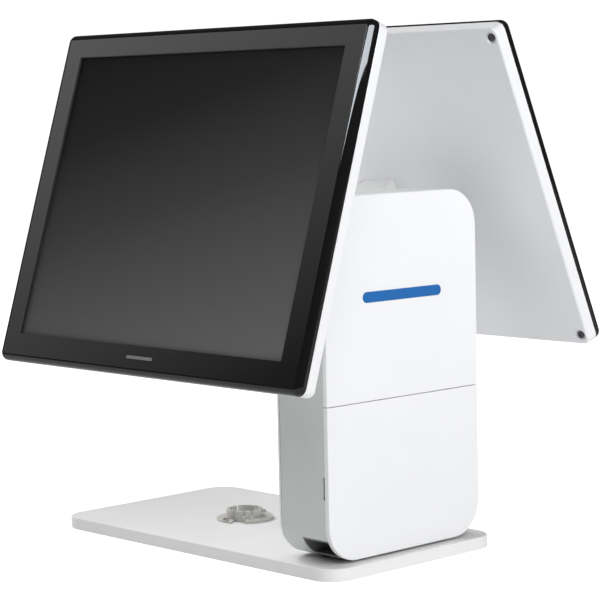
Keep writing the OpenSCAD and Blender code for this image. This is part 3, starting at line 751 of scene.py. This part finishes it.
def left_cover_cutters(outer_x):
    """Opening for the hinge bracket, the power button's hole and the loudspeaker grille."""
    button_low, button_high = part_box("power_button")
    button = (button_low + button_high) / 2
    near_x, far_x = outer_x - BEYOND, outer_x + BEYOND
    cutters = [block("way", Vector((near_x, -BRACKET_WAY_Y, BRACKET_WAY_LOW)),
                     Vector((far_x, BRACKET_WAY_Y, BRACKET_WAY_HIGH))),
               tube("button_hole", Vector((near_x, button.y, button.z)),
                    Vector((far_x, button.y, button.z)), BUTTON_HOLE_R)]
    for row in range(-3, 4):
        for side in (-1, 0, 1):
            if side and abs(row) > 2:
                continue
            y, z = GRILLE_Y + row * GRILLE_STEP_Y, GRILLE_Z + side * GRILLE_STEP_Z
            cutters.append(tube("hole", Vector((near_x, y, z)), Vector((far_x, y, z)),
                                GRILLE_HOLE_R, steps=20))
    return cutters


def build_column():
    finish_piece(build_band(), "stand", "column_band")
    right = build_cover("right_cover_plate", "right_cover", -1, RIGHT_GROOVE)
    finish_piece(right, "stand", "right_cover")
    service = build_cover("service_cover_plate", "service_cover", -1, RIGHT_GROOVE)
    finish_piece(service, "service_cover", "service_cover")
    left = build_cover("left_cover_plate", "left_cover", 1, LEFT_GROOVE)
    left_low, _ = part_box("left_cover")
    combine(left, left_cover_cutters(left_low.x), "DIFFERENCE")
    finish_piece(left, "stand", "left_cover")
    for node, width in (("side_badge", 0.15), ("outlet_duct", 0.2), ("hinge_housing", 0.9),
                        ("housing_lid", 0.5), ("hinge_bracket", 0.4)):
        finish_piece(soften(node, width * MM), "stand", node)


# ---------- Base ----------


def build_base():
    """Base slab with its holes and foot pockets, and the pieces fixed to it."""
    low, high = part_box("base_plate")
    width, depth = high.x - low.x, high.y - low.y
    centre = ((low.x + high.x) / 2, (low.y + high.y) / 2)
    pairs = fillet(BASE_EDGE_LOW, low.z, 1, 4)
    pairs += list(reversed(fillet(BASE_EDGE_HIGH, high.z, -1, 6)))
    rings = [(outline(width, depth, [BASE_R] * 4, inset, centre), z) for inset, z in pairs]
    plate = loft("base_plate_slab", rings, along_z)
    socket_low, socket_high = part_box("pole_socket")
    socket = Vector(((socket_low.x + socket_high.x) / 2, (socket_low.y + socket_high.y) / 2, 0))
    cutters = [tube("cable_hole", socket - Vector((0, 0, 0.01)), socket + Vector((0, 0, 0.05)),
                    CABLE_HOLE_R)]
    feet = [Vector((0, 0, 0))]
    for sx in (-1, 1):
        for sy in (-1, 1):
            feet.append(Vector((centre[0] + sx * (width / 2 - FOOT_INSET),
                                centre[1] + sy * (depth / 2 - FOOT_INSET), 0)))
    for at in feet:
        cutters.append(tube("foot", at, at + Vector((0, 0, low.z + FOOT_POCKET_D)), FOOT_R))
    screw_low, screw_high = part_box("column_screws")
    for x in (screw_low.x + COLUMN_SCREW_HEAD_R, screw_high.x - COLUMN_SCREW_HEAD_R):
        for y in (screw_low.y + COLUMN_SCREW_HEAD_R, screw_high.y - COLUMN_SCREW_HEAD_R):
            at = Vector((x, y, 0))
            above = at + Vector((0, 0, 0.05))
            sink_top = at + Vector((0, 0, low.z + COLUMN_SINK_D))
            cutters.append(tube("screw_hole", at, above, COLUMN_SCREW_HOLE_R))
            cutters.append(tube("sink", at, sink_top, COLUMN_SINK_R))
    combine(plate, cutters, "DIFFERENCE")
    finish_piece(plate, "stand", "base_plate")
    for node, edge in (("pole_socket", 0.35), ("socket_screws", 0.2), ("rubber_feet", 0.4),
                       ("column_gasket", 0.2), ("column_screws", 0.2)):
        finish_piece(soften(node, edge * MM), "stand", node)


# ---------- Camera, light and floor ----------

CAMERA_AT = Vector((1.21958, -1.13826, 0.35226))
CAMERA_YAW = math.radians(46.7035)
CAMERA_PITCH = math.radians(-5.3965)
CAMERA_ROLL = math.radians(-1.22)
CAMERA_LENS = 127.06
SENSOR = 36.0
CAMERA_WHITE = 1.05
ROOM_LIGHT = 0.0
ROOM_REFLECTION = 0.09
FLOOR_LIGHT = 0.56
FLOOR_REFLECTION = 0.32
# Name, place, point aimed at, width, height and watts
SOFTBOXES = (
    ("key", (1.9, 0.1, 2.0), (0, 0, 0.2), 1.8, 1.8, 20),
    ("right", (2.2, 0.2, 0.6), (0, 0, 0.2), 1.2, 1.0, 17.5),
    ("front_right", (1.6, -1.25, 1.5), (0, 0, 0.2), 1.2, 1.0, 17),
    ("left", (-1.9, 0.1, 1.6), (0, 0, 0.1), 1.2, 1.2, 57),
    ("front_left", (-1.7, -1.0, 1.0), (0, 0, 0.1), 1.0, 1.0, 7),
    ("between_monitors", (-0.25, -0.01, 0.33), (0.14, 0.08, 0.31), 0.1, 0.1, 0.16),
)
# Place, point aimed at, width, height and watts
RIM_LIGHT = ((0.206, -0.218, 0.478), (-0.368, 0.601, 0.478), 0.398, 0.094, 1.8)
RIM_COLOUR = (0.88, 0.94, 1.0)


def add_camera():
    """Camera at the photograph's viewing angle."""
    forward = Vector((-math.sin(CAMERA_YAW) * math.cos(CAMERA_PITCH),
                      math.cos(CAMERA_YAW) * math.cos(CAMERA_PITCH), math.sin(CAMERA_PITCH)))
    right = forward.cross(Vector((0, 0, 1))).normalized()
    up = right.cross(forward)
    cos_roll, sin_roll = math.cos(CAMERA_ROLL), math.sin(CAMERA_ROLL)
    tilted_right = right * cos_roll + up * sin_roll
    tilted_up = up * cos_roll - right * sin_roll
    data = bpy.data.cameras.new("camera")
    data.lens = CAMERA_LENS
    data.sensor_width = SENSOR
    data.clip_end = 50
    obj = bpy.data.objects.new("camera", data)
    matrix = Matrix((tilted_right, tilted_up, -forward)).transposed().to_4x4()
    matrix.translation = CAMERA_AT
    obj.matrix_world = matrix
    bpy.context.scene.collection.objects.link(obj)
    bpy.context.scene.camera = obj


def add_softbox(name, at, target, width, height, watts, in_reflections=False):
    """Rectangular light that the camera doesn't see."""
    data = bpy.data.lights.new(name, "AREA")
    data.shape = "RECTANGLE"
    data.size = width
    data.size_y = height
    data.energy = watts
    obj = bpy.data.objects.new(name, data)
    obj.location = at
    obj.rotation_euler = (Vector(target) - Vector(at)).to_track_quat("-Z", "Y").to_euler()
    obj.visible_camera = False
    obj.visible_glossy = in_reflections
    bpy.context.scene.collection.objects.link(obj)
    return obj


def add_rim_light():
    """Bluish panel, seen only in reflections, that draws the highlight on a bezel's edge."""
    panel = add_softbox("rim", *RIM_LIGHT, in_reflections=True)
    panel.data.color = RIM_COLOUR
    panel.visible_diffuse = False


def by_ray(nodes, links, camera, glossy, other):
    """A value that differs for camera rays, reflections and everything else."""
    path = nodes.new("ShaderNodeLightPath")
    result = None
    for output, value in (("Is Glossy Ray", glossy), ("Is Camera Ray", camera)):
        mix = nodes.new("ShaderNodeMix")
        mix.inputs["B"].default_value = value
        if result is None:
            mix.inputs["A"].default_value = other
        else:
            links.new(result, mix.inputs["A"])
        links.new(path.outputs[output], mix.inputs["Factor"])
        result = mix.outputs["Result"]
    return result


def add_world():
    """White room to the camera, which gives no light and is dim in reflections."""
    world = bpy.data.worlds.new("studio")
    world.use_nodes = True
    tree = world.node_tree
    background = tree.nodes["Background"]
    background.inputs["Color"].default_value = (1, 1, 1, 1)
    strength = by_ray(tree.nodes, tree.links, CAMERA_WHITE, ROOM_REFLECTION, ROOM_LIGHT)
    tree.links.new(strength, background.inputs["Strength"])
    bpy.context.scene.world = world


def add_floor():
    """Large pale floor that glows like a lit white table, so that no shadow shows on it."""
    mesh = bmesh.new()
    bmesh.ops.create_grid(mesh, x_segments=2, y_segments=2, size=6)
    floor = new_object("floor", mesh)
    material, shader = new_material("pale_floor")
    shader.inputs["Base Color"].default_value = (0.35, 0.35, 0.35, 1)
    shader.inputs["Roughness"].default_value = 0.7
    shader.inputs["Specular IOR Level"].default_value = 0.0
    shader.inputs["Emission Color"].default_value = (1, 1, 1, 1)
    tree = material.node_tree
    glow = by_ray(tree.nodes, tree.links, CAMERA_WHITE, FLOOR_REFLECTION, FLOOR_LIGHT)
    connect(material, glow, shader.inputs["Emission Strength"])
    floor.data.materials.append(material)


# ---------- Assembly ----------

build_monitor("operator", "operator_touch_glass")
build_monitor("customer", "customer_cover_glass")
build_column()
build_base()
for cad_name, cad_object in frame["nodes"].items():
    dress(cad_object, SLOT_OF[cad_name])
add_camera()
add_world()
add_floor()
for softbox in SOFTBOXES:
    add_softbox(*softbox)
add_rim_light()
bpy.context.scene.view_settings.view_transform = "Standard"
